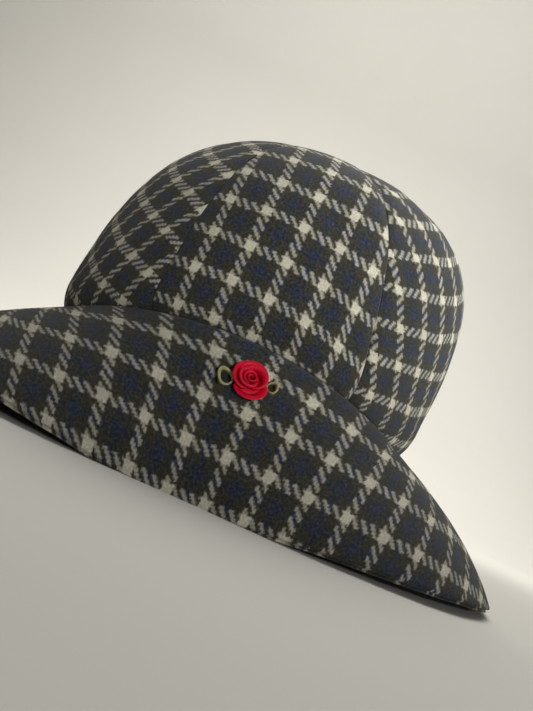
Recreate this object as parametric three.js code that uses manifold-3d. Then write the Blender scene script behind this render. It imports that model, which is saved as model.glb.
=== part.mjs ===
// A soft bucket hat of checked wool, resting on its rim: six crown panels that meet at the top,
// a bell-shaped brim of an outer cloth and a facing under it, and a ribbon rose with two loops.
// Millimetres, +Z up, +X towards the brim's wide side, the rose on the -Y side.
import * as THREE from "three";
import { mergeVertices } from "three/addons/utils/BufferGeometryUtils.js";
import Module from "manifold-3d";

// Crown
const panelCount = 6;
const firstSeam = -58; // azimuth of the first panel seam, degrees
const seamRadius = 94; // outside of the crown where the brim is sewn on
const crownRadius = 98.5; // outside at the widest ring
const widestHeight = 14; // widest ring above the brim seam
const crownHeight = 115.3; // brim seam to the top
const crownFullness = 3.3; // exponent of the dome's outline, 2 is an ellipse
const crownLeanRight = 11.6; // the soft top leans this far
const crownLeanBack = 3.4;
const leanPower = 1.3;
const apexRight = -18; // the panels' meeting point, off the dome's middle
const apexBack = -30;
const seamArch = 9; // the brim seam rises at front and back and dips at the sides
const seamTip = 1.2; // and rises a little to the right
const crownCloth = 1.8;
const seamSink = 1.3; // depth of the groove along a panel seam
const apexHole = 1.2; // radius left open where the panel tips meet

// Brim
const brimWidth = 78; // seam to rim, along the cloth
const brimCloth = 1.6;
const facingCloth = 1.2;
const restPress = 1.0; // the rim's lowest stretches are pressed flat by this much

// Rose
const roseAzimuth = -86.5;
const roseDown = 0.25; // place down the brim, as a share of its width
const roseRadius = 7.1;
const roseTurns = 2.75;
const roseEye = 1.3; // radius of the coil's open eye
const ribbonWidth = 6.2; // height of the coil above its foot
const ribbonCloth = 0.9;
const ribbonFlare = 1.1; // the ribbon's free edge rolls out
const petals = 3; // waves of the free edge in a turn
const petalWave = 0.5; // rise and fall of the free edge
const petalDroop = 0.22; // the outer end stands lower by this share
const footThickness = 0.9;
const loopLength = 5.2; // a loop, outwards from the rose
const loopBreadth = 7.2;
const loopHeight = 3.4;
const loopRise = 1; // the right loop sits this much above the rose's middle
const loopDrop = 3; // and the left one below it
const loopSettle = 0.25; // the brim curves away under the loops, which follow it

const gap = 0.4; // between pieces that touch

// Brim sections by azimuth from the right, the same at front and back: the cloth's slope below
// the horizontal where it leaves the crown and at the rim, and its width as a share of brimWidth.
const brimSections = [
  { azimuth: 0, slopeAtSeam: 22, slopeAtRim: 51.5, width: 1.06 },
  { azimuth: 20, slopeAtSeam: 20, slopeAtRim: 50, width: 1.07 },
  { azimuth: 40, slopeAtSeam: 27, slopeAtRim: 52, width: 1.03 },
  { azimuth: 60, slopeAtSeam: 43, slopeAtRim: 59, width: 0.965 },
  { azimuth: 90, slopeAtSeam: 57, slopeAtRim: 67.5, width: 0.98 },
  { azimuth: 120, slopeAtSeam: 39, slopeAtRim: 53, width: 0.98 },
  { azimuth: 150, slopeAtSeam: 24, slopeAtRim: 45.5, width: 0.97 },
  { azimuth: 180, slopeAtSeam: 20, slopeAtRim: 46, width: 0.965 },
];

// Rolled edge of a panel: place across it from one seam to the other, and depth as a share of seamSink
const panelSections = [
  { across: 0, sink: 1 },
  { across: 0.035, sink: 0.4 },
  { across: 0.11, sink: 0.06 },
  { across: 0.29, sink: 0 },
  { across: 0.5, sink: 0 },
  { across: 0.71, sink: 0 },
  { across: 0.89, sink: 0.06 },
  { across: 0.965, sink: 0.4 },
  { across: 1, sink: 1 },
];

// Ribbon of the rose from its foot to its free edge: shares of its height and of ribbonFlare
const ribbonSections = [
  { rise: 0, flare: 0 },
  { rise: 0.6, flare: 0.15 },
  { rise: 1, flare: 1 },
];

const panelRings = 17; // steps from the brim seam to the top
const brimSpokes = 96;
const brimRings = 7;
const coilSteps = 18; // per turn of the rose
const footSides = 20;
const loopPoints = 16;
const tangentStep = 0.01; // short way along the brim, for its direction
const weldDistance = 1e-4;

const degrees = THREE.MathUtils.degToRad;

const wasm = await Module();
wasm.setup();

// Cubic interpolation of one column of the brim sections, mirrored from front to back
function brimColumn(azimuth, column) {
  const turn = THREE.MathUtils.euclideanModulo(THREE.MathUtils.radToDeg(azimuth), 360);
  const side = turn > 180 ? 360 - turn : turn;
  const last = brimSections.length - 1;
  let i = 0;
  while (i < last - 1 && side > brimSections[i + 1].azimuth) i += 1;
  const rowAt = (k) => {
    const row = brimSections[k < 0 ? -k : k > last ? 2 * last - k : k];
    const place = k < 0 ? -row.azimuth : k > last ? 360 - row.azimuth : row.azimuth;
    return { place, value: row[column] };
  };
  const [before, low, high, after] = [rowAt(i - 1), rowAt(i), rowAt(i + 1), rowAt(i + 2)];
  const span = high.place - low.place;
  const lowTangent = ((high.value - before.value) / (high.place - before.place)) * span;
  const highTangent = ((after.value - low.value) / (after.place - low.place)) * span;
  const t = (side - low.place) / span;
  return (
    (2 * t ** 3 - 3 * t ** 2 + 1) * low.value +
    (t ** 3 - 2 * t ** 2 + t) * lowTangent +
    (3 * t ** 2 - 2 * t ** 3) * high.value +
    (t ** 3 - t ** 2) * highTangent
  );
}

// Height of the brim seam above its own mean
function seamHeight(azimuth) {
  return seamTip * Math.cos(azimuth) - seamArch * Math.cos(2 * azimuth);
}

// A point of the crown's outside, climbing from the seam (0) to the panels' meeting point (PI / 2)
function crownPoint(azimuth, climb, inset) {
  const apex = new THREE.Vector3(apexRight, apexBack, crownHeight).normalize();
  const ray = new THREE.Vector3(Math.cos(azimuth), Math.sin(azimuth), 0)
    .multiplyScalar(Math.cos(climb))
    .addScaledVector(apex, Math.sin(climb));
  const flat = Math.hypot(ray.x, ray.y) / crownRadius;
  const rise = ray.z / crownHeight;
  const reach = (flat ** crownFullness + rise ** crownFullness) ** (-1 / crownFullness);
  const point = ray.multiplyScalar(reach - inset);
  const height = point.z / crownHeight;
  const waist = 1 - (1 - seamRadius / crownRadius) * Math.max(0, 1 - point.z / widestHeight) ** 2;
  const lean = Math.max(0, height) ** leanPower;
  point.x = point.x * waist + crownLeanRight * lean;
  point.y = point.y * waist + crownLeanBack * lean;
  point.z += seamHeight(azimuth) * (1 - height);
  return point;
}

// A place on the brim, down from the seam (0) to the rim (1) and below the outer face by depth
function brimPoint(azimuth, down, depth) {
  const from = degrees(brimColumn(azimuth, "slopeAtSeam"));
  const to = degrees(brimColumn(azimuth, "slopeAtRim"));
  const width = brimWidth * brimColumn(azimuth, "width");
  const slope = from + (to - from) * down;
  const bend = width / (to - from); // radius of the cloth's arc
  let radius = seamRadius + bend * (Math.sin(slope) - Math.sin(from));
  let height = seamHeight(azimuth) - gap + bend * (Math.cos(slope) - Math.cos(from));
  if (down === 1) {
    radius -= depth / Math.sin(slope); // the rim is cut level
  } else {
    radius -= depth * Math.sin(slope);
    height -= depth * Math.cos(slope);
  }
  return new THREE.Vector3(Math.cos(azimuth) * radius, Math.sin(azimuth) * radius, height);
}

// Skins a grid of points: rows[i][j], with j going round each row and i round the rows or capped
function skin(rows, closed) {
  const positions = [];
  const triangle = (a, b, c) => positions.push(...a.toArray(), ...b.toArray(), ...c.toArray());
  const count = closed ? rows.length : rows.length - 1;
  for (let i = 0; i < count; i += 1) {
    const here = rows[i];
    const next = rows[(i + 1) % rows.length];
    here.forEach((point, j) => {
      const k = (j + 1) % here.length;
      triangle(point, next[j], next[k]);
      triangle(point, next[k], here[k]);
    });
  }
  if (!closed) {
    const half = rows[0].length / 2;
    for (const [row, flip] of [[rows[0], false], [rows[rows.length - 1], true]]) {
      for (let j = 0; j < half - 1; j += 1) {
        const corners = [row[j], row[j + 1], row[row.length - 2 - j], row[row.length - 1 - j]];
        if (flip) corners.reverse();
        triangle(corners[0], corners[1], corners[2]);
        triangle(corners[0], corners[2], corners[3]);
      }
    }
  }
  const geometry = new THREE.BufferGeometry();
  geometry.setAttribute("position", new THREE.Float32BufferAttribute(positions, 3));
  geometry.computeVertexNormals();
  return geometry;
}

function toSolid(geometry) {
  const bare = new THREE.BufferGeometry();
  bare.setAttribute("position", geometry.getAttribute("position"));
  if (geometry.index) bare.setIndex(geometry.index);
  const merged = mergeVertices(bare, weldDistance);
  return new wasm.Manifold(
    new wasm.Mesh({
      numProp: 3,
      vertProperties: merged.getAttribute("position").array,
      triVerts: new Uint32Array(merged.index.array),
    }),
  );
}

function toGeometry(solid) {
  const mesh = solid.getMesh();
  const geometry = new THREE.BufferGeometry();
  geometry.setAttribute("position", new THREE.BufferAttribute(mesh.vertProperties, 3));
  geometry.setIndex(new THREE.BufferAttribute(mesh.triVerts, 1));
  return geometry.toNonIndexed();
}

const tweed = new THREE.MeshStandardMaterial({ color: 0x4b4b46, roughness: 0.95, metalness: 0 });
const darkTweed = new THREE.MeshStandardMaterial({ color: 0x3f3f3c, roughness: 0.95, metalness: 0 });
const redSatin = new THREE.MeshStandardMaterial({ color: 0xb0021f, roughness: 0.45, metalness: 0 });
const oliveSatin = new THREE.MeshStandardMaterial({ color: 0x7b7f4a, roughness: 0.5, metalness: 0 });

function named(name, geometry, material) {
  const mesh = new THREE.Mesh(geometry, material);
  mesh.name = name;
  return mesh;
}

// One crown panel: its outer and inner faces between two seams, with half a gap left along each
function crownPanel(index) {
  const start = degrees(firstSeam) + (index * 2 * Math.PI) / panelCount;
  const sweep = (2 * Math.PI) / panelCount;
  const endClimb = Math.PI / 2 - apexHole / crownHeight;
  const rows = [];
  for (let i = 0; i <= panelRings; i += 1) {
    const climb = (endClimb * i) / panelRings;
    const inset = gap / 2 / (crownHeight * Math.cos(climb));
    const face = (depth) =>
      panelSections.map(({ across, sink }) => {
        const azimuth = start + inset + (sweep - 2 * inset) * across;
        return crownPoint(azimuth, climb, depth + seamSink * sink);
      });
    rows.push([...face(crownCloth), ...face(0).reverse()]);
  }
  return named(`crown_panel_${index + 1}`, skin(rows, false), tweed);
}

// A closed ring of brim cloth between two depths under the brim's outer face
function brimLayer(name, top, bottom, material) {
  const rows = [];
  for (let i = 0; i < brimSpokes; i += 1) {
    const azimuth = (-2 * Math.PI * i) / brimSpokes;
    const face = (depth) =>
      Array.from({ length: brimRings + 1 }, (_, j) => brimPoint(azimuth, j / brimRings, depth));
    const ring = [...face(top), ...face(bottom).reverse()];
    for (const point of ring) point.z = Math.max(point.z, floorHeight);
    rows.push(ring);
  }
  return named(name, skin(rows, true), material);
}

// The level that the hat rests on, restPress above the lowest stretch of the free-hanging rim
function restLevel() {
  const heights = Array.from({ length: brimSpokes }, (_, i) =>
    brimPoint((2 * Math.PI * i) / brimSpokes, 1, 0).z,
  );
  return Math.min(...heights) + restPress;
}

// The frame on the brim where the rose is sewn: x along the brim, y up it, z out of it
function rosePlace() {
  const azimuth = degrees(roseAzimuth);
  const centre = brimPoint(azimuth, roseDown, 0);
  const up = brimPoint(azimuth, roseDown - tangentStep, 0).sub(centre).normalize();
  const along = brimPoint(azimuth + tangentStep, roseDown, 0).sub(centre).normalize();
  const out = new THREE.Vector3().crossVectors(along, up).normalize();
  along.crossVectors(up, out);
  const frame = new THREE.Matrix4().makeBasis(along, up, out);
  return frame.setPosition(centre.addScaledVector(out, gap));
}

// The coiled ribbon of the rose on its round foot, in the rose's own frame
function roseGeometry() {
  const steps = Math.round(roseTurns * coilSteps);
  const rows = [];
  for (let i = 0; i <= steps; i += 1) {
    const turn = (roseTurns * i) / steps;
    const angle = turn * 2 * Math.PI;
    const run = turn / roseTurns;
    const radius = THREE.MathUtils.lerp(roseEye, roseRadius - ribbonCloth - ribbonFlare, run);
    const height = ribbonWidth * (1 - petalDroop * run) + petalWave * Math.cos(petals * angle);
    const face = (outward) =>
      ribbonSections.map(({ rise, flare }) => {
        const r = radius + outward + ribbonFlare * flare * run;
        const z = footThickness / 2 + (height - footThickness / 2) * rise;
        return new THREE.Vector3(Math.cos(angle) * r, Math.sin(angle) * r, z);
      });
    rows.push([...face(ribbonCloth), ...face(0).reverse()]);
  }
  const coil = toSolid(skin(rows, false));
  const footRadius = roseRadius - ribbonFlare;
  const foot = new THREE.CylinderGeometry(footRadius, footRadius, footThickness, footSides);
  foot.rotateX(Math.PI / 2).translate(0, 0, footThickness / 2);
  return toGeometry(coil.add(toSolid(foot)));
}

// A ribbon loop standing on edge beside the rose, side 1 to the right and -1 to the left
function loopGeometry(side) {
  const outline = (inset) => {
    const halfLength = loopLength / 2 - inset;
    const halfBreadth = loopBreadth / 2 - inset;
    return new THREE.EllipseCurve(0, 0, halfLength, halfBreadth).getPoints(loopPoints).slice(0, -1);
  };
  const band = new THREE.Shape(outline(0));
  band.holes.push(new THREE.Path(outline(ribbonCloth)));
  const geometry = new THREE.ExtrudeGeometry(band, { depth: loopHeight, bevelEnabled: false });
  const reach = roseRadius + gap + loopLength / 2;
  return geometry.translate(side * reach, side > 0 ? loopRise : -loopDrop, -loopSettle);
}

const floorHeight = restLevel();
const hat = new THREE.Group();
for (let i = 0; i < panelCount; i += 1) hat.add(crownPanel(i));
hat.add(brimLayer("brim", 0, brimCloth, tweed));
hat.add(brimLayer("brim_facing", brimCloth + gap, brimCloth + gap + facingCloth, darkTweed));

const trim = new THREE.Group();
trim.add(named("rose", roseGeometry(), redSatin));
trim.add(named("rose_loop_left", loopGeometry(-1), oliveSatin));
trim.add(named("rose_loop_right", loopGeometry(1), oliveSatin));
trim.applyMatrix4(rosePlace());
hat.add(trim);

// The origin is the middle of the hat's box on the surface that it rests on
hat.updateMatrixWorld(true);
const middle = new THREE.Box3().setFromObject(hat, true).getCenter(new THREE.Vector3());
hat.position.set(-middle.x, -middle.y, -floorHeight);

export default hat;
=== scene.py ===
import math

import bpy
import numpy as np
from mathutils import Matrix, Vector, noise


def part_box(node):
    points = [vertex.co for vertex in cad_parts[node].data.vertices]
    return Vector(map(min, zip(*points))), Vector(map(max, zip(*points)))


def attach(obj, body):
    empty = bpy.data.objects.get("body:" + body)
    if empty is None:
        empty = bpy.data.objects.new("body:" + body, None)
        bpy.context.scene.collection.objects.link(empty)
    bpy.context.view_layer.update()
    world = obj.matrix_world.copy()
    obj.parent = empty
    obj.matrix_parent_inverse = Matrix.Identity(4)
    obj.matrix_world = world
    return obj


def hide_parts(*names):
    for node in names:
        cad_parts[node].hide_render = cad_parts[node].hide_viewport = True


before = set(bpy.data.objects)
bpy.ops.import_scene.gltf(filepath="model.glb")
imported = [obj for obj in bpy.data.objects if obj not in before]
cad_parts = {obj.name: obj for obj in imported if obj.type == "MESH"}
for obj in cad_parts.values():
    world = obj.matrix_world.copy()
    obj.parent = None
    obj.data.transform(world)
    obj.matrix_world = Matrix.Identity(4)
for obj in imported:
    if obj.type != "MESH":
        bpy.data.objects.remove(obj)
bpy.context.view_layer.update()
print("frame loaded,", len(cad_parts), "solids")

# Shapes are worked out in millimetres round the middle of the brim seam, +Z up, the rose on -Y.
# One pattern of cloth is shared by every wool piece.

crown = {
    "panels": 6,
    "firstSeam": -58.0,  # azimuth, degrees
    "seamRadius": 94.0,
    "radius": 98.5,
    "widest": 14.0,  # height of the widest ring
    "height": 115.3,
    "fullness": 3.3,
    "lean": (11.6, 3.4),
    "leanPower": 1.3,
    "apex": (-18.0, -30.0),  # where the panels meet, off the middle
    "seamArch": 9.0,
    "seamTip": 1.2,
    "cloth": 1.8,
    "groove": 0.85,  # depth of the valley along a panel seam
    "grooveReach": 2.6,
    "pucker": 0.56,  # the stitches gather the cloth beside a seam
    "puckerLength": 11.0,
    "puckerReach": 7.0,
    "turnIn": 0.22,  # the lower edge rolls in to the brim seam
    "turnReach": 2.6,
    "apexHole": 0.6,
    "dent": 0.9,  # soft unevenness of the standing cloth
    "dentSizes": (34.0, 15.0),
    "dentFades": (14.0, 20.0),  # calm towards the panel seams and the brim seam
    "gap": 0.04,
    "across": 64,
    "up": 96,
    "crowding": 0.45,  # columns stand closer together at the seams
    "climbPower": 1.12,
}

brim = {
    "width": 78.0,
    "cloth": 1.6,
    "gap": 0.4,
    "facing": 1.2,  # the second layer, under the brim
    "facingShows": 0.7,  # the facing looks out under the rim
    "valley": 0.22,  # the cloth is drawn in along the seam
    "valleyReach": 5.0,
    "close": 0.38,  # the cloth comes up to the crown at the seam
    "closeReach": 6.0,
    "wave": 0.8,
    "waveLength": 30.0,
    "ripple": 0.4,
    "rippleLength": 11.0,
    "backLap": 1e-4,  # the ends reach past each other by this turn, and are welded
    "weld": 2e-5,  # metres
    "spokes": 96,  # of the solid in the frame
    "around": 400,
    "down": 44,
    "rim": 5,  # steps round the turned rim
    # azimuth from the right, slope at the seam, slope at the rim, share of the width
    "sections": (
        (0, 22, 51.5, 1.06),
        (20, 20, 50, 1.07),
        (40, 27, 52, 1.03),
        (60, 43, 59, 0.965),
        (90, 57, 67.5, 0.98),
        (120, 39, 53, 0.98),
        (150, 24, 45.5, 0.97),
        (180, 20, 46, 0.965),
    ),
}

check = {
    "threads": 16,  # in a repeat
    "creamThreads": 4,
    "navyThreads": 4,
    "navyMiddle": 10,
    "thread": 1.085,  # width of a thread
    "showThrough": 0.42,  # how much of a darker thread below shows through the nap
    "fuzz": 3.0,
    "cream": (0.66, 0.635, 0.51),
    "olive": (0.035, 0.033, 0.022),
    "navy": (0.016, 0.026, 0.071),
    "heather": (0.088, 0.083, 0.066),  # stray pale fibres spun into the dark yarns
}

mm = 0.001  # metres
repeat = check["threads"] * check["thread"]  # size of the check


def smooth(share):
    return share * share * (3 - 2 * share)


def seamHeight(azimuth):
    return crown["seamTip"] * np.cos(azimuth) - crown["seamArch"] * np.cos(2 * azimuth)


def crownPoint(azimuth, climb, inset=0.0):
    height, radius, power = crown["height"], crown["radius"], crown["fullness"]
    apex = np.array([*crown["apex"], height])
    apex = apex / np.linalg.norm(apex)
    azimuth, climb = np.broadcast_arrays(azimuth, climb)
    level = np.stack([np.cos(azimuth), np.sin(azimuth), 0 * azimuth], -1)
    ray = level * np.cos(climb)[..., None] + apex * np.sin(climb)[..., None]
    flat = np.hypot(ray[..., 0], ray[..., 1]) / radius
    reach = (flat**power + (ray[..., 2] / height) ** power) ** (-1 / power)
    point = ray * (reach - inset)[..., None]
    rise = point[..., 2] / height
    below = np.maximum(0, 1 - point[..., 2] / crown["widest"])
    waist = 1 - (1 - crown["seamRadius"] / radius) * below**2
    lean = np.maximum(0, rise) ** crown["leanPower"]
    x = point[..., 0] * waist + crown["lean"][0] * lean
    y = point[..., 1] * waist + crown["lean"][1] * lean
    z = point[..., 2] + seamHeight(azimuth) * (1 - rise)
    return np.stack([x, y, z], -1)


def brimColumn(azimuth, column):
    # cubic through the sections, mirrored from front to back
    table = np.array(brim["sections"], float)
    place = np.concatenate([[-table[1, 0]], table[:, 0], [360 - table[-2, 0]]])
    value = np.concatenate([[table[1, column]], table[:, column], [table[-2, column]]])
    side = np.degrees(azimuth) % 360
    side = np.where(side > 180, 360 - side, side)
    i = np.clip(np.searchsorted(table[:, 0], side, side="left"), 1, len(table) - 1)
    low, high = place[i], place[i + 1]
    span = high - low
    lowTangent = (value[i + 1] - value[i - 1]) / (high - place[i - 1]) * span
    highTangent = (value[i + 2] - value[i]) / (place[i + 2] - low) * span
    past = (side - low) / span
    return (
        (1 - smooth(past)) * value[i]
        + past * (1 - past) ** 2 * lowTangent
        + smooth(past) * value[i + 1]
        - past**2 * (1 - past) * highTangent
    )


def brimPoint(azimuth, run, depth):
    # run is the share of the way from the seam to the rim, depth is below the outer face
    azimuth, run, depth = np.broadcast_arrays(azimuth, run, depth)
    start = np.radians(brimColumn(azimuth, 1))
    end = np.radians(brimColumn(azimuth, 2))
    bend = brim["width"] * brimColumn(azimuth, 3) / (end - start)
    slope = start + (end - start) * run
    radius = crown["seamRadius"] + bend * (np.sin(slope) - np.sin(start))
    height = seamHeight(azimuth) - brim["gap"] + bend * (np.cos(slope) - np.cos(start))
    radius = radius - depth * np.sin(slope)
    height = height - depth * np.cos(slope)
    return np.stack([radius * np.cos(azimuth), radius * np.sin(azimuth), height], -1)


def brimWidthAt(azimuth):
    return brim["width"] * brimColumn(azimuth, 3)


def findSeamMiddle():
    # the brim's box in the frame says where the middle of the seam is
    low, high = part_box("brim")
    spokes = np.linspace(-math.pi, math.pi, brim["spokes"] + 1)[:-1]
    rim = brimPoint(spokes, 1.0, 0.0)
    rimMiddle = (rim.min(0) + rim.max(0)) / 2 * mm
    seamTop = (seamHeight(math.pi / 2) - brim["gap"]) * mm
    x = (low.x + high.x) / 2 - rimMiddle[0]
    y = (low.y + high.y) / 2 - rimMiddle[1]
    return Vector((x, y, high.z - seamTop))


seamMiddle = findSeamMiddle()
print("seam middle at", [round(c / mm, 2) for c in seamMiddle], "mm")


def toFrame(points):
    return np.asarray(points) * mm + np.array(seamMiddle)


def addMesh(name, points, faces, uvs=None):
    mesh = bpy.data.meshes.new(name)
    mesh.from_pydata([tuple(p) for p in points], [], faces)
    if uvs is not None:
        layer = mesh.uv_layers.new(name="Cloth")
        loops = np.zeros(len(mesh.loops), int)
        mesh.loops.foreach_get("vertex_index", loops)
        layer.data.foreach_set("uv", np.asarray(uvs, float)[loops].ravel())
    mesh.validate()
    mesh.shade_smooth()
    made = bpy.data.objects.new(name, mesh)
    bpy.context.scene.collection.objects.link(made)
    return made


def ringFaces(rows, around, closed):
    # quads over a grid whose rows are closed loops of points
    faces = []
    for i in range(rows if closed else rows - 1):
        for j in range(around):
            a, b = i * around + j, i * around + (j + 1) % around
            c, d = (a + around) % (rows * around), (b + around) % (rows * around)
            faces.append((a, c, d, b))
    return faces


def softNoise(points, size, seed):
    shift = seed * Vector((3.1, 1.7, 5.3))  # each seed reads the noise somewhere else
    values = [noise.noise(Vector(p) / size + shift) for p in points.reshape(-1, 3)]
    return np.array(values).reshape(points.shape[:-1])


def crownPanel(index):
    sweep = 2 * math.pi / crown["panels"]
    start = math.radians(crown["firstSeam"]) + index * sweep
    across = np.linspace(0, 1, crown["across"] + 1)
    across = across + crown["crowding"] * (smooth(across) - across)
    endClimb = math.pi / 2 - crown["apexHole"] / crown["height"]
    climb = endClimb * np.linspace(0, 1, crown["up"] + 1)[:, None] ** crown["climbPower"]
    inset = crown["gap"] / 2 / (crown["height"] * np.cos(climb))
    azimuth = start + inset + (sweep - 2 * inset) * across[None]
    skin = crownPoint(azimuth, climb)

    steps = np.linalg.norm(np.diff(skin, axis=1), axis=-1)
    run = np.concatenate([np.zeros((len(skin), 1)), np.cumsum(steps, 1)], 1)
    fromSeam = np.minimum(run, run[:, -1:] - run)
    middle = skin.shape[1] // 2
    rises = np.linalg.norm(np.diff(skin[:, middle], axis=0), axis=-1)
    up = np.concatenate([[0], np.cumsum(rises)])[:, None]

    largeDent, smallDent = crown["dentSizes"]
    sideFade, lowFade = crown["dentFades"]
    dents = softNoise(skin, largeDent, 1) + 0.5 * softNoise(skin, smallDent, 2)
    dents = dents * (1 - np.exp(-((fromSeam / sideFade) ** 2))) * np.minimum(1, up / lowFade)
    pucker = softNoise(skin, crown["puckerLength"], 3 + index)
    pucker = pucker * np.exp(-((fromSeam / crown["puckerReach"]) ** 2))
    depth = crown["groove"] * np.exp(-((fromSeam / crown["grooveReach"]) ** 1.5))
    depth = depth + crown["turnIn"] * np.exp(-((up / crown["turnReach"]) ** 2))
    depth = depth - crown["dent"] * dents - crown["pucker"] * pucker

    outer = crownPoint(azimuth, climb, depth)
    inner = crownPoint(azimuth, climb, depth + crown["cloth"])
    rows = np.concatenate([outer, inner[:, ::-1]], 1)
    count, around = rows.shape[:2]

    side = run - run[:, -1:] / 2
    cloth = np.stack(np.broadcast_arrays(side, up), -1)
    cloth = panelGrain(index, cloth)
    uvs = np.concatenate([cloth, cloth[:, ::-1]], 1).reshape(-1, 2)

    # the two skins are joined along the lower edge and at the top
    faces = ringFaces(count, around, closed=False)
    half = around // 2
    for row, turned in ((0, False), (count - 1, True)):
        base = row * around
        for j in range(half - 1):
            quad = (base + j, base + j + 1, base + around - 2 - j, base + around - 1 - j)
            faces.append(quad[::-1] if turned else quad)
    return addMesh(f"crownPanel{index + 1}", toFrame(rows.reshape(-1, 3)), faces, uvs)


# How each crown panel was laid on the cloth: shift across and up in repeats, tilt in degrees,
# and whether the cloth was turned a quarter round
panelLay = (
    {"shift": (0.138, 0.933), "tilt": -16.0, "turned": True},
    {"shift": (0.10, 0.45), "tilt": 3.0, "turned": False},
    {"shift": (0.55, 0.20), "tilt": -2.0, "turned": True},
    {"shift": (0.40, 0.60), "tilt": 2.0, "turned": False},
    {"shift": (0.199, 0.108), "tilt": 27.7, "turned": True},
    {"shift": (0.315, 0.033), "tilt": 5.4, "turned": False},
)


def panelGrain(index, cloth):
    lay = panelLay[index]
    tilt = math.radians(lay["tilt"])
    u = cloth[..., 0] * math.cos(tilt) - cloth[..., 1] * math.sin(tilt)
    v = cloth[..., 0] * math.sin(tilt) + cloth[..., 1] * math.cos(tilt)
    u = u + lay["shift"][0] * repeat
    v = v + lay["shift"][1] * repeat
    return np.stack([v, -u] if lay["turned"] else [u, v], -1)


# How the brim was laid on the cloth: the front was eased over the straight grain, and further
# round the cloth lies as it would roll out flat
brimLay = {
    "ring": 57.5,  # inner radius of the eased front
    "front": -85.7,  # azimuth where the grain runs straight down
    "spread": 0.565,  # turn of the eased grain for each degree round the brim
    "tilt": -2.7,
    "stretch": (1.118, 0.849),
    "shift": (4.879, -1.729),  # repeats
    "eased": 45.0,  # degrees each side of the front
    "fade": 40.0,
    "steps": 720,  # round the brim when it is rolled out
}


def easedGrain(turn, run):
    distance = run * brimWidthAt(turn + math.radians(brimLay["front"]))
    spread = turn * brimLay["spread"]
    reach = brimLay["ring"] + distance
    across = reach * np.sin(spread) / brimLay["spread"]
    down = reach * np.cos(spread) - brimLay["ring"]
    tilt = math.radians(brimLay["tilt"])
    u = (across * math.cos(tilt) - down * math.sin(tilt)) * brimLay["stretch"][0]
    v = (across * math.sin(tilt) + down * math.cos(tilt)) * brimLay["stretch"][1]
    return np.stack([u, v], -1) + np.array(brimLay["shift"]) * repeat


def summed(rate, step):
    # running sum of a rate, nought in the middle
    middle = len(rate) // 2
    total = np.cumsum((rate[1:] + rate[:-1]) / 2, 0) * step
    total = np.concatenate([0 * total[:1], total])
    return total - total[middle]


def rolledOut():
    # turn of the grain and place of the seam when the brim is rolled out flat from the front
    turn = np.linspace(-math.pi, math.pi, brimLay["steps"] + 1)
    step = turn[1] - turn[0]
    azimuth = turn + math.radians(brimLay["front"])
    seamRun = np.gradient(brimPoint(azimuth, 0.0, 0.0), step, axis=0)
    rimRun = np.gradient(brimPoint(azimuth, 1.0, 0.0), step, axis=0)
    seamRate, rimRate = np.linalg.norm(seamRun, axis=-1), np.linalg.norm(rimRun, axis=-1)
    grain = summed((rimRate - seamRate) / brimWidthAt(azimuth), step)
    seam = summed(seamRate[:, None] * np.stack([np.cos(grain), -np.sin(grain)], -1), step)
    return turn, grain, seam


rolled = rolledOut()


def flatGrain(turn, run, side):
    # rolled out flat, then laid against the eased front on one side
    turns, grains, seam = rolled
    join = side * math.radians(brimLay["eased"] + brimLay["fade"] / 2)
    width = run * brimWidthAt(turn + math.radians(brimLay["front"]))
    grain = np.interp(turn, turns, grains)
    u = np.interp(turn, turns, seam[:, 0]) + width * np.sin(grain)
    v = np.interp(turn, turns, seam[:, 1]) + width * np.cos(grain)
    top, middle, rim = easedGrain(np.full(3, join), np.array([0.0, 0.5, 1.0]))
    swing = math.atan2(*(rim - top)) - np.interp(join, turns, grains)
    half = brimWidthAt(np.array(join) + math.radians(brimLay["front"])) / 2
    start = np.interp(join, turns, grains)
    u = u - np.interp(join, turns, seam[:, 0]) - half * math.sin(start)
    v = v - np.interp(join, turns, seam[:, 1]) - half * math.cos(start)
    turnedU = u * math.cos(swing) + v * math.sin(swing)
    turnedV = v * math.cos(swing) - u * math.sin(swing)
    return np.stack([turnedU, turnedV], -1) + middle


def brimGrain(azimuth, run):
    azimuth, run = np.broadcast_arrays(azimuth, run)
    turn = azimuth - math.radians(brimLay["front"])
    turn = (turn + math.pi) % (2 * math.pi) - math.pi
    past = (np.abs(np.degrees(turn)) - brimLay["eased"]) / brimLay["fade"]
    weight = smooth(np.clip(past, 0, 1))[..., None]
    flat = np.where((turn < 0)[..., None], flatGrain(turn, run, -1), flatGrain(turn, run, 1))
    cloth = easedGrain(turn, run) * (1 - weight) + flat * weight
    return cloth * np.array([1, -1])


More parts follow.
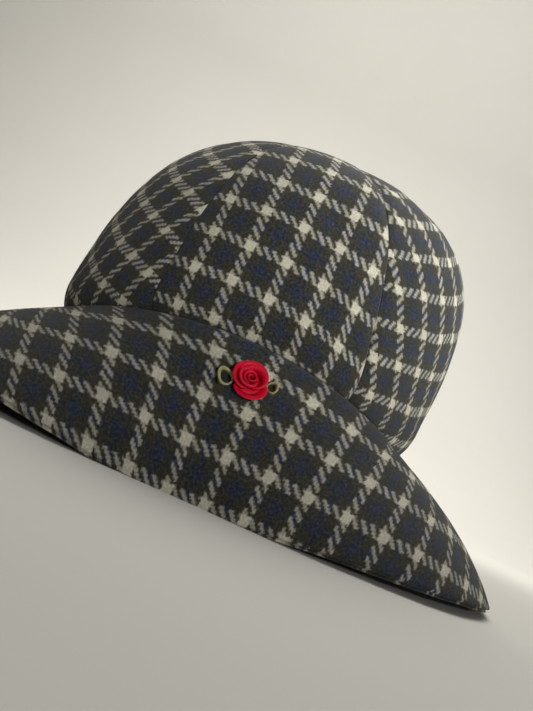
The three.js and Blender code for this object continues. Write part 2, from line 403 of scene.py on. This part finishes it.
def brimLayer(name, top, bottom, extend):
    # the seam in the grain lies at the back of the hat, where the ring of cloth is joined
    back = math.radians(brimLay["front"]) + math.pi
    azimuth = (back - np.linspace(0, 2 * math.pi, brim["around"] + 1))[:, None]
    azimuth[0] -= brim["backLap"]
    azimuth[-1] += brim["backLap"]
    run = np.linspace(0, 1, brim["down"] + 1)[None]
    width = brimWidthAt(azimuth)
    half = (bottom - top) / 2
    reach = 1 + (extend - half) / width  # the rim's middle line
    skin = brimPoint(azimuth, run, 0.0)
    wave = brim["wave"] * softNoise(skin, brim["waveLength"], 9) * smooth(run)
    wave = wave + brim["ripple"] * softNoise(skin, brim["rippleLength"], 10) * run
    valley = brim["valley"] * np.exp(-((run * width / brim["valleyReach"]) ** 2)) - wave
    upper = brimPoint(azimuth, run * reach, top + valley)
    lower = brimPoint(azimuth, run * reach, bottom + valley)
    angles = np.linspace(0, math.pi, brim["rim"] + 2)[1:-1][None]
    turnedRun = reach + half * np.sin(angles) / width
    turnedDepth = (top + bottom) / 2 - half * np.cos(angles) + valley[:, -1:]
    rim = brimPoint(azimuth, turnedRun, turnedDepth)
    rows = np.concatenate([upper, rim, lower[:, ::-1]], 1)
    away = np.hypot(rows[..., 0], rows[..., 1]) - crown["seamRadius"]
    rows[..., 2] += brim["close"] * np.exp(-((away / brim["closeReach"]) ** 2))
    face = brimGrain(azimuth, run * reach)
    uvs = np.concatenate([face, brimGrain(azimuth, turnedRun), face[:, ::-1]], 1)
    points = toFrame(rows.reshape(-1, 3))
    points[:, 2] = np.maximum(points[:, 2], 0.0)  # pressed flat where it rests
    faces = ringFaces(rows.shape[0], rows.shape[1], closed=False)
    made = addMesh(name, points, faces, uvs.reshape(-1, 2))
    weld = made.modifiers.new("backJoin", "WELD")
    weld.merge_threshold = brim["weld"]
    return made


print("building the crown")
crownPanels = [crownPanel(i) for i in range(crown["panels"])]
print("building the brim")
brimOuter = brimLayer("brimCloth", 0.0, brim["cloth"], 0.0)
facingTop = brim["cloth"] + brim["gap"]
brimUnder = brimLayer("brimFacing", facingTop, facingTop + brim["facing"], brim["facingShows"])

rose = {
    "azimuth": -86.5,
    "down": 0.25,  # share of the way to the rim
    "step": 0.01,  # short way along the brim, for its slope
    "radius": 7.1,
    "eye": 0.75,
    "base": 0.2,  # the ribbon's foot above the brim
    "bud": {"turns": 1.6, "from": 0.9, "radius": 2.7, "lip": 0.35, "height": 4.7, "wall": 1.0},
    # the bud's first turn is lower and thinner, and its edge sways
    "budStart": {"low": 0.1, "thin": 0.3, "sway": 0.12, "rate": 1.7},
    "petals": (
        # radius at the foot, reach of the lip, middle and span in degrees, height, wall
        {"radius": 3.5, "lip": 1.1, "middle": 215, "span": 250, "height": 5.0, "wall": 1.45},
        {"radius": 4.5, "lip": 1.1, "middle": 40, "span": 215, "height": 4.7, "wall": 1.45},
        {"radius": 5.4, "lip": 1.6, "middle": 178, "span": 175, "height": 4.2, "wall": 1.6},
        {"radius": 5.3, "lip": 1.4, "middle": 70, "span": 200, "height": 4.4, "wall": 1.7},
        {"radius": 6.4, "lip": 2.2, "middle": -68, "span": 145, "height": 3.0, "wall": 1.9},
    ),
    # at its ends a petal tucks in, droops and thins; it sways a little along its length
    "ends": {"tuck": 0.75, "wind": 0.22, "droop": 0.25, "thin": 0.55},
    "sway": {"rate": 3.1, "radius": 0.14, "height": 0.16, "lip": 0.12},
    "leanPower": 2.2,
    # folded ribbon from its outer foot over the fold to its inner foot: out in walls, up in heights
    "fold": (
        (0.30, 0.0), (0.34, 0.3), (0.44, 0.58), (0.55, 0.8), (0.56, 0.92), (0.40, 0.985),
        (0.10, 1.0), (-0.2, 0.975), (-0.38, 0.9), (-0.42, 0.74), (-0.38, 0.4), (-0.32, 0.0),
    ),
    # round foot that everything is sewn to: radius and height
    "foot": ((0.2, 0.1), (5.9, 0.1), (6.5, 0.5), (5.9, 1.0), (0.2, 1.0)),
    "footSides": 36,
    "budSteps": 70,
    "petalSteps": 48,
}

loops = {
    "length": 7.2,
    "breadth": 9.8,
    "height": 3.4,
    "ribbon": 1.35,
    "rise": 1.0,  # the right loop above the rose's middle
    "drop": 3.0,  # the left loop below it
    "reach": 2.0,
    "settle": 0.25,
    "size": {-1: 1.0, 1: 0.66},  # left and right
    # at the rose the loop is this much narrower, lower and thinner
    "pinch": 0.28,
    "low": 0.6,
    "thin": 0.4,
    "steps": 64,
    # section of the ribbon on edge: out in walls, up in heights
    "section": (
        (-0.55, 0.0), (-0.35, 0.5), (-0.05, 0.85), (0.0, 0.97), (-0.3, 1.0),
        (-0.75, 0.97), (-1.0, 0.85), (-1.0, 0.5), (-1.05, 0.0),
    ),
}


def rosePlace():
    # on the brim, with its up towards the crown
    azimuth = np.array(math.radians(rose["azimuth"]))
    step = rose["step"]
    centre = brimPoint(azimuth, rose["down"], 0.0)
    up = brimPoint(azimuth, rose["down"] - step, 0.0) - centre
    along = brimPoint(azimuth + step, rose["down"], 0.0) - centre
    up, along = Vector(up).normalized(), Vector(along).normalized()
    out = along.cross(up).normalized()
    along = up.cross(out)
    place = Vector(toFrame(centre)) + out * brim["gap"] * mm
    return Matrix.Translation(place) @ Matrix((along, up, out)).transposed().to_4x4()


def ribbonStrip(sections, closed=False):
    # closed sections, one for each step along the ribbon, skinned and capped
    rows = np.asarray(sections, float)
    count, around = rows.shape[:2]
    faces = ringFaces(count, around, closed)
    if not closed:
        faces.append(tuple(range(around)))
        faces.append(tuple(range((count - 1) * around, count * around))[::-1])
    return rows.reshape(-1, 3), faces


def foldedRibbon(angles, radii, heights, lips, walls):
    # ribbon folded along its length, so that the free edge is a soft round fold that leans out
    outward, upward = np.array(rose["fold"]).T
    rows = []
    for angle, radius, height, lip, wall in zip(angles, radii, heights, lips, walls):
        reach = radius + wall * outward + lip * upward ** rose["leanPower"]
        level = rose["base"] + (height - rose["base"]) * upward
        rows.append(np.stack([reach * math.cos(angle), reach * math.sin(angle), level], -1))
    return ribbonStrip(rows)


def joinParts(parts):
    points, faces, offset = [], [], 0
    for some, quads in parts:
        points.append(some)
        faces += [tuple(v + offset for v in face) for face in quads]
        offset += len(some)
    return np.concatenate(points), faces


def roseBud():
    bud, start = rose["bud"], rose["budStart"]
    along = np.linspace(0, 1, rose["budSteps"])
    angles = along * bud["turns"] * 2 * math.pi + bud["from"]
    radii = rose["eye"] + (bud["radius"] - rose["eye"]) * along
    heights = bud["height"] * (1 - start["low"] * (1 - along))
    heights = heights + start["sway"] * np.sin(angles * start["rate"])
    walls = bud["wall"] * (1 - start["thin"] * (1 - along))
    return foldedRibbon(angles, radii, heights, bud["lip"] * along, walls)


def rosePetal(petal):
    ends, sways = rose["ends"], rose["sway"]
    along = np.linspace(-1, 1, rose["petalSteps"])
    angles = np.radians(petal["middle"] + petal["span"] / 2 * along)
    sway = np.sin(sways["rate"] * along + petal["middle"])
    radii = petal["radius"] - ends["tuck"] * along**4 - ends["wind"] * along + sways["radius"] * sway
    heights = petal["height"] * (1 - ends["droop"] * along**4) + sways["height"] * sway
    lips = petal["lip"] * (1 - ends["thin"] * along**4) * (1 + sways["lip"] * sway)
    walls = petal["wall"] * (1 - ends["thin"] * along**6)
    return foldedRibbon(angles, radii, heights, lips, walls)


def roseFoot():
    sections = []
    reach, level = np.array(rose["foot"]).T
    for angle in np.linspace(0, 2 * math.pi, rose["footSides"] + 1)[:-1]:
        sections.append(np.stack([reach * math.cos(angle), reach * math.sin(angle), level], -1))
    return ribbonStrip(sections, closed=True)


def ribbonRose(place):
    points, faces = joinParts([roseBud(), *map(rosePetal, rose["petals"]), roseFoot()])
    made = addMesh("ribbonRose", points * mm, faces)
    made.matrix_world = place
    return made


def ribbonLoop(name, side, place):
    # a ribbon loop on edge, its wall leaning out, the end at the rose sewn under it
    size = loops["size"][side]
    out, up = np.array(loops["section"]).T
    rows = []
    for turn in np.linspace(0, 2 * math.pi, loops["steps"] + 1)[:-1]:
        outward = math.cos(turn)
        nearRose = (1 - outward) / 2
        x = loops["length"] / 2 * outward
        y = loops["breadth"] / 2 * math.sin(turn) * (1 - loops["pinch"] * nearRose)
        heading = Vector((x, y)).normalized()
        tall = loops["height"] * (1 - loops["low"] * nearRose)
        wall = out * loops["ribbon"] * (1 - loops["thin"] * nearRose)
        rows.append(np.stack([x + heading.x * wall, y + heading.y * wall, tall * up], -1))
    rows = np.array(rows) * np.array([size * side, size, 1.0])
    lift = loops["rise"] if side > 0 else -loops["drop"]
    reach = rose["radius"] + brim["gap"] + loops["reach"]
    turn = math.atan2(side * lift, reach)
    x = rows[..., 0] * math.cos(turn) - rows[..., 1] * math.sin(turn) + side * reach
    y = rows[..., 0] * math.sin(turn) + rows[..., 1] * math.cos(turn) + lift
    points, faces = ribbonStrip(np.stack([x, y, rows[..., 2] - loops["settle"]], -1), closed=True)
    if side < 0:
        faces = [face[::-1] for face in faces]
    made = addMesh(name, points * mm, faces)
    made.matrix_world = place
    return made


print("building the rose")
trimPlace = rosePlace()
roseRibbon = ribbonRose(trimPlace)
loopLeft = ribbonLoop("roseLoopLeft", -1, trimPlace)
loopRight = ribbonLoop("roseLoopRight", 1, trimPlace)


def mathNode(tree, operation, a, b=None, c=None, clamp=False):
    node = tree.nodes.new("ShaderNodeMath")
    node.operation = operation
    node.use_clamp = clamp
    for socket, value in zip(node.inputs, (a, b, c)):
        if isinstance(value, (int, float)):
            socket.default_value = value
        elif value is not None:
            tree.links.new(value, socket)
    return node.outputs[0]


def mixColour(tree, factor, a, b, blend="MIX"):
    node = tree.nodes.new("ShaderNodeMix")
    node.data_type = "RGBA"
    node.blend_type = blend
    # a colour mix has its factor first, and its two colours at six and seven
    for socket, value in ((node.inputs[0], factor), (node.inputs[6], a), (node.inputs[7], b)):
        if isinstance(value, (int, float)):
            socket.default_value = value
        elif isinstance(value, tuple):
            socket.default_value = (*value, 1)
        else:
            tree.links.new(value, socket)
    return node.outputs[2]


def noiseNode(tree, vector, scale, detail, roughness=0.5):
    node = tree.nodes.new("ShaderNodeTexNoise")
    node.inputs["Scale"].default_value = scale
    node.inputs["Detail"].default_value = detail
    node.inputs["Roughness"].default_value = roughness
    tree.links.new(vector, node.inputs["Vector"])
    return node


def vectorNode(tree, operation, a, b=None, scale=None):
    node = tree.nodes.new("ShaderNodeVectorMath")
    node.operation = operation
    tree.links.new(a, node.inputs[0])
    if isinstance(b, tuple):
        node.inputs[1].default_value = b
    elif b is not None:
        tree.links.new(b, node.inputs[1])
    if isinstance(scale, float):
        node.inputs["Scale"].default_value = scale
    elif scale is not None:
        tree.links.new(scale, node.inputs["Scale"])
    return node.outputs[0]


def wander(tree, source, move):
    # a noise's colour as a move to either side
    centred = vectorNode(tree, "SUBTRACT", source.outputs["Color"], (0.5, 0.5, 0.5))
    return vectorNode(tree, "SCALE", centred, scale=move)


def bumpNode(tree, shader, height, strength, distance):
    bump = tree.nodes.new("ShaderNodeBump")
    bump.inputs["Strength"].default_value = strength
    bump.inputs["Distance"].default_value = distance
    tree.links.new(height, bump.inputs["Height"])
    tree.links.new(bump.outputs[0], shader.inputs["Normal"])


weave = {
    # noises over the cloth, their scale to the millimetre
    "drift": {"scale": 0.045, "detail": 1.0},
    "waver": {"scale": 0.9, "detail": 2.0, "roughness": 0.6},
    "fibre": {"scale": 4.6, "detail": 2.0, "roughness": 0.7},
    "speck": {"scale": 0.85, "detail": 4.0, "roughness": 0.68},
    "patch": {"scale": 0.09, "detail": 3.0},
    "driftMove": 2.6,
    "waverMove": 1.7,
    # how round a float is across and along, and how much of the relief is thread and fibre
    "roundAcross": 0.6,
    "roundAlong": 0.5,
    "threadRelief": 0.8,
    "fibreRelief": 0.5,
    # gain and floor of each effect on the colour
    "stray": (2.8, -1.22),
    # painted shade from the thread relief: darker in the gaps between threads, lighter on the fibres
    "paintedShadeAndMottle": (0.55, 0.42),
    "patchy": (0.5, 0.75),
    "specks": (0.9, 0.55),
}


def arch(tree, share, power):
    # rounded rise and fall over a share from 0 to 1
    rise = mathNode(tree, "SINE", mathNode(tree, "MULTIPLY", share, math.pi))
    return mathNode(tree, "POWER", mathNode(tree, "MAXIMUM", rise, 0.001), power)


def twillCheckGroup():
    tree = bpy.data.node_groups.new("twillCheck", "ShaderNodeTree")
    put = tree.interface.new_socket
    put(name="Cloth", in_out="INPUT", socket_type="NodeSocketVector")
    for name in ("Thread", "Fuzz"):
        put(name=name, in_out="INPUT", socket_type="NodeSocketFloat")
    for name in ("Cream", "Olive", "Navy", "Heather"):
        put(name=name, in_out="INPUT", socket_type="NodeSocketColor")
    put(name="Colour", in_out="OUTPUT", socket_type="NodeSocketColor")
    put(name="Relief", in_out="OUTPUT", socket_type="NodeSocketFloat")
    into = tree.nodes.new("NodeGroupInput")
    out = tree.nodes.new("NodeGroupOutput")
    cloth = into.outputs["Cloth"]

    # threads waver, and the nap blurs their edges
    fine = noiseNode(tree, cloth, **weave["fibre"])
    drift = wander(tree, noiseNode(tree, cloth, **weave["drift"]), weave["driftMove"])
    waver = wander(tree, noiseNode(tree, cloth, **weave["waver"]), weave["waverMove"])
    place = vectorNode(tree, "ADD", cloth, drift)
    place = vectorNode(tree, "ADD", place, waver)
    place = vectorNode(tree, "ADD", place, wander(tree, fine, into.outputs["Fuzz"]))
    split = tree.nodes.new("ShaderNodeSeparateXYZ")
    tree.links.new(place, split.inputs[0])
    across = mathNode(tree, "DIVIDE", split.outputs[0], into.outputs["Thread"])
    along = mathNode(tree, "DIVIDE", split.outputs[1], into.outputs["Thread"])
    warpIndex = mathNode(tree, "FLOOR", across)
    weftIndex = mathNode(tree, "FLOOR", along)
    warpPart = mathNode(tree, "SUBTRACT", across, warpIndex)
    weftPart = mathNode(tree, "SUBTRACT", along, weftIndex)

    # two over, two under, stepping one thread each row: the warp is up on two threads of four
    twill = mathNode(tree, "FLOORED_MODULO", mathNode(tree, "ADD", warpIndex, weftIndex), 4.0)
    warpUp = mathNode(tree, "LESS_THAN", twill, 1.5)

    # stray pale fibres are spun into the dark yarns
    speck = noiseNode(tree, cloth, **weave["speck"]).outputs["Fac"]
    stray = mathNode(tree, "MULTIPLY_ADD", speck, *weave["stray"], clamp=True)

    def threadColour(index):
        middle = mathNode(tree, "ADD", index, 0.5)
        turn = mathNode(tree, "FLOORED_MODULO", middle, check["threads"])
        isCream = mathNode(tree, "LESS_THAN", turn, check["creamThreads"])
        fromNavy = mathNode(tree, "SUBTRACT", turn, check["navyMiddle"])
        fromNavy = mathNode(tree, "ABSOLUTE", fromNavy)
        isNavy = mathNode(tree, "LESS_THAN", fromNavy, check["navyThreads"] / 2)
        colour = mixColour(tree, isNavy, into.outputs["Olive"], into.outputs["Navy"])
        colour = mixColour(tree, stray, colour, into.outputs["Heather"])
        return mixColour(tree, isCream, colour, into.outputs["Cream"])

    warp, weft = threadColour(warpIndex), threadColour(weftIndex)
    above = mixColour(tree, warpUp, weft, warp)
    below = mixColour(tree, warpUp, warp, weft)
    colour = mixColour(tree, check["showThrough"], above, below, "DARKEN")

    # each float is a small rounded bar two threads long
    notUp = mathNode(tree, "SUBTRACT", 1.0, warpUp)
    wideWarp = mathNode(tree, "MULTIPLY", warpUp, warpPart)
    wideWeft = mathNode(tree, "MULTIPLY", notUp, weftPart)
    longWarp = mathNode(tree, "ADD", twill, weftPart)
    longWarp = mathNode(tree, "MULTIPLY", longWarp, warpUp)
    longWeft = mathNode(tree, "SUBTRACT", mathNode(tree, "ADD", twill, warpPart), 2.0)
    longWeft = mathNode(tree, "MULTIPLY", longWeft, notUp)
    wide = mathNode(tree, "ADD", wideWarp, wideWeft)
    long = mathNode(tree, "MULTIPLY", mathNode(tree, "ADD", longWarp, longWeft), 0.5)
    archAcross = arch(tree, wide, weave["roundAcross"])
    archAlong = arch(tree, long, weave["roundAlong"])
    bar = mathNode(tree, "MULTIPLY", archAcross, archAlong)
    nap = mathNode(tree, "MULTIPLY", fine.outputs["Fac"], weave["fibreRelief"])
    relief = mathNode(tree, "MULTIPLY_ADD", bar, weave["threadRelief"], nap)

    # painted shade darkens the gaps between threads, painted highlight lightens the fibres, and the
    # dye is a little uneven
    patch = noiseNode(tree, cloth, **weave["patch"]).outputs["Fac"]
    paintedShadeAndMottle = mathNode(tree, "MULTIPLY_ADD", relief, *weave["paintedShadeAndMottle"])
    patchy = mathNode(tree, "MULTIPLY_ADD", patch, *weave["patchy"])
    specks = mathNode(tree, "MULTIPLY_ADD", speck, *weave["specks"])
    # the painted shade and highlight, times the uneven dye and the specks
    paintedShadeAndMottle = mathNode(tree, "MULTIPLY", mathNode(tree, "MULTIPLY", paintedShadeAndMottle, patchy), specks)
    paintedShadeAndMottleGrey = tree.nodes.new("ShaderNodeCombineColor")
    for socket in paintedShadeAndMottleGrey.inputs[:3]:
        tree.links.new(paintedShadeAndMottle, socket)
    colour = mixColour(tree, 1.0, colour, paintedShadeAndMottleGrey.outputs[0], "MULTIPLY")
    tree.links.new(colour, out.inputs["Colour"])
    tree.links.new(relief, out.inputs["Relief"])
    return tree


def newMaterial(name):
    material = bpy.data.materials.new(name)
    material.use_nodes = True
    tree = material.node_tree
    return material, tree, tree.nodes["Principled BSDF"]


finish = {
    "wool": {
        "roughness": 0.92,
        "specular": 0.15,
        "sheenRoughness": 0.45,
        "sheenTint": (0.85, 0.85, 0.8),
        "bump": 0.6,
        "relief": 0.0003,
    },
    "satin": {
        "ribs": 900,
        "ribWaver": 1.5,
        "clouds": 260,
        "cloudDetail": 3.0,
        "roughSwing": 0.25,
        "roughDip": 0.12,
        "bump": 0.25,
        "relief": 0.0001,
    },
    "red": {
        "light": (0.68, 0.0015, 0.03),
        "dark": (0.44, 0.001, 0.018),
        "roughness": 0.5,
        "shine": 0.2,
    },
    "olive": {
        "light": (0.43, 0.43, 0.2),
        "dark": (0.21, 0.2, 0.09),
        "roughness": 0.5,
        "shine": 0.3,
    },
    "sheen": {"outer": 0.12, "facing": 0.1},
}


def woolCheck(name, group, sheen):
    looks = finish["wool"]
    material, tree, shader = newMaterial(name)
    uv = tree.nodes.new("ShaderNodeUVMap")
    uv.uv_map = "Cloth"
    cloth = tree.nodes.new("ShaderNodeGroup")
    cloth.node_tree = group
    tree.links.new(uv.outputs[0], cloth.inputs["Cloth"])
    cloth.inputs["Thread"].default_value = check["thread"]
    cloth.inputs["Fuzz"].default_value = check["fuzz"]
    for key in ("cream", "olive", "navy", "heather"):
        cloth.inputs[key.capitalize()].default_value = (*check[key], 1)
    bumpNode(tree, shader, cloth.outputs["Relief"], looks["bump"], looks["relief"])
    tree.links.new(cloth.outputs["Colour"], shader.inputs["Base Color"])
    shader.inputs["Roughness"].default_value = looks["roughness"]
    shader.inputs["Specular IOR Level"].default_value = looks["specular"]
    shader.inputs["Sheen Weight"].default_value = sheen
    shader.inputs["Sheen Roughness"].default_value = looks["sheenRoughness"]
    shader.inputs["Sheen Tint"].default_value = (*looks["sheenTint"], 1)
    return material


def satin(name, light, dark, roughness, shine):
    looks = finish["satin"]
    material, tree, shader = newMaterial(name)
    place = tree.nodes.new("ShaderNodeTexCoord").outputs["Object"]
    ribs = tree.nodes.new("ShaderNodeTexWave")
    ribs.bands_direction = "Z"
    ribs.inputs["Scale"].default_value = looks["ribs"]
    ribs.inputs["Distortion"].default_value = looks["ribWaver"]
    tree.links.new(place, ribs.inputs["Vector"])
    bumpNode(tree, shader, ribs.outputs["Fac"], looks["bump"], looks["relief"])
    cloud = noiseNode(tree, place, looks["clouds"], looks["cloudDetail"]).outputs["Fac"]
    tree.links.new(mixColour(tree, cloud, dark, light), shader.inputs["Base Color"])
    smoothest = roughness - looks["roughDip"]
    rough = mathNode(tree, "MULTIPLY_ADD", cloud, looks["roughSwing"], smoothest)
    tree.links.new(rough, shader.inputs["Roughness"])
    shader.inputs["Specular IOR Level"].default_value = shine
    return material


print("making the materials")
twillCheck = twillCheckGroup()
wool = woolCheck("napped wool check", twillCheck, finish["sheen"]["outer"])
woolUnder = woolCheck("napped wool check facing", twillCheck, finish["sheen"]["facing"])
redSatin = satin("red satin ribbon", **finish["red"])
oliveSatin = satin("olive satin ribbon", **finish["olive"])

dressed = [
    *[(panel, wool, "wool_check", f"crown_panel_{i + 1}") for i, panel in enumerate(crownPanels)],
    (brimOuter, wool, "wool_check", "brim"),
    (brimUnder, woolUnder, "wool_check_facing", "brim_facing"),
    (roseRibbon, redSatin, "red_satin", "rose"),
    (loopLeft, oliveSatin, "olive_satin", "rose_loop_left"),
    (loopRight, oliveSatin, "olive_satin", "rose_loop_right"),
]
for piece, material, slot, node in dressed:
    piece.data.materials.append(material)
    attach(piece, "root")
    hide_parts(node)
print("dressed", len(dressed), "pieces")

# Floor and backdrop in one curved sweep, metres
backdrop = {
    "front": -5.0,
    "back": 1.1,
    "curve": 1.3,
    "curveSteps": 24,
    "top": 4.0,
    "side": 6.0,
    "plaster": ((0.60, 0.585, 0.535), (0.64, 0.625, 0.575)),
    "clouds": 3.0,
    "cloudDetail": 3.0,
    "roughness": 0.9,
}


def palePlaster():
    material, tree, shader = newMaterial("pale plaster")
    place = tree.nodes.new("ShaderNodeTexCoord").outputs["Object"]
    cloud = noiseNode(tree, place, backdrop["clouds"], backdrop["cloudDetail"]).outputs["Fac"]
    tree.links.new(mixColour(tree, cloud, *backdrop["plaster"]), shader.inputs["Base Color"])
    shader.inputs["Roughness"].default_value = backdrop["roughness"]
    return material


def paleSweep():
    bend = np.linspace(0, math.pi / 2, backdrop["curveSteps"] + 1)
    ys = [backdrop["front"], *(backdrop["back"] + backdrop["curve"] * np.sin(bend))]
    zs = [0.0, *(backdrop["curve"] * (1 - np.cos(bend)))]
    ys.append(ys[-1])
    zs.append(backdrop["top"])
    points = [(side, y, z) for y, z in zip(ys, zs) for side in (-backdrop["side"], backdrop["side"])]
    faces = [(2 * i, 2 * i + 1, 2 * i + 3, 2 * i + 2) for i in range(len(ys) - 1)]
    sweep = addMesh("paleSweep", points, faces)
    sweep.data.materials.append(palePlaster())


print("setting the stage")
paleSweep()

# Soft daylight from the right, in beams held off the brim, and a wash over the backdrop
daylight = (0.99, 1, 1)
roomLight = (1, 0.98, 0.95)
lights = (
    {
        "name": "window",
        "at": (1.35, 0.1, 0.45),
        "aim": (0.02, 0, 0.232),
        "beam": 14,
        "watts": 112,
        "colour": daylight,
    },
    {
        "name": "sill",
        "at": (1.2, -0.5, 0.2),
        "aim": (0.02, 0, 0.22),
        "beam": 14,
        "watts": 112,
        "colour": daylight,
    },
    {
        "name": "fill",
        "at": (0.55, -1.6, 0.55),
        "aim": (-0.01, 0, 0.165),
        "beam": 13,
        "watts": 146,
        "colour": roomLight,
    },
    {
        "name": "sky",
        "at": (0.15, 0.75, 1.5),
        "aim": (0.15, 0.55, 0),
        "size": 1.3,
        "watts": 24,
        "colour": roomLight,
    },
    {
        "name": "backWash",
        "at": (0.1, 0.4, 1.8),
        "aim": (0.15, 2.4, 1.7),
        "size": 1.9,
        "watts": 48,
        "colour": roomLight,
    },
)
room = {
    "beamSoftness": 0.15,  # radius of the beams' lamps
    "tint": (0.97, 0.975, 1.0),
    "light": 0.12,  # what the room around gives
    "seen": 0.5,  # added where it is seen past the backdrop
}


def addLamp(lamp):
    data = bpy.data.lights.new(lamp["name"], "SPOT" if "beam" in lamp else "AREA")
    if "beam" in lamp:
        data.spot_size = math.radians(lamp["beam"])
        data.spot_blend = 1.0
        data.shadow_soft_size = room["beamSoftness"]
    else:
        data.size = lamp["size"]
    data.energy = lamp["watts"]
    data.color = lamp["colour"]
    shone = bpy.data.objects.new(lamp["name"], data)
    bpy.context.scene.collection.objects.link(shone)
    shone.location = lamp["at"]
    away = Vector(lamp["aim"]) - shone.location
    shone.rotation_euler = away.to_track_quat("-Z", "Y").to_euler()


def lightRoom():
    world = bpy.data.worlds.new("room")
    world.use_nodes = True
    tree = world.node_tree
    background = tree.nodes["Background"]
    background.inputs["Color"].default_value = (*room["tint"], 1)
    seen = tree.nodes.new("ShaderNodeLightPath").outputs["Is Camera Ray"]
    strength = mathNode(tree, "MULTIPLY_ADD", seen, room["seen"], room["light"])
    tree.links.new(strength, background.inputs["Strength"])
    bpy.context.scene.world = world
    bpy.context.scene.view_settings.view_transform = "Standard"


for lamp in lights:
    addLamp(lamp)
lightRoom()

# The photograph's angle: level with the brim, a little below its seam, and tipped to the right
view = {
    "distance": 0.4121,
    "elevation": -3.4,
    "roll": 24.6,
    "focal": 770.8,  # pixels
    "seamAt": (235.4, 372.6),  # where the middle of the seam lands, pixels
    "frame": (533, 711),
    "sensor": 36,
    "nearest": 0.01,
}


def photoCamera():
    data = bpy.data.cameras.new("photoCamera")
    camera = bpy.data.objects.new("photoCamera", data)
    bpy.context.scene.collection.objects.link(camera)
    wide, tall = view["frame"]
    data.sensor_width = view["sensor"]
    data.lens = view["focal"] / tall * view["sensor"]
    data.shift_x = (wide / 2 - view["seamAt"][0]) / tall
    data.shift_y = (view["seamAt"][1] - tall / 2) / tall
    data.clip_start = view["nearest"]
    lift = math.radians(view["elevation"])
    back = Vector((0, -math.cos(lift), math.sin(lift)))
    turn = (-back).to_track_quat("-Z", "Y").to_matrix().to_4x4()
    roll = Matrix.Rotation(math.radians(view["roll"]), 4, "Z")
    camera.matrix_world = Matrix.Translation(seamMiddle + back * view["distance"]) @ turn @ roll
    bpy.context.scene.camera = camera
    print("camera at", [round(c, 3) for c in camera.location])


photoCamera()
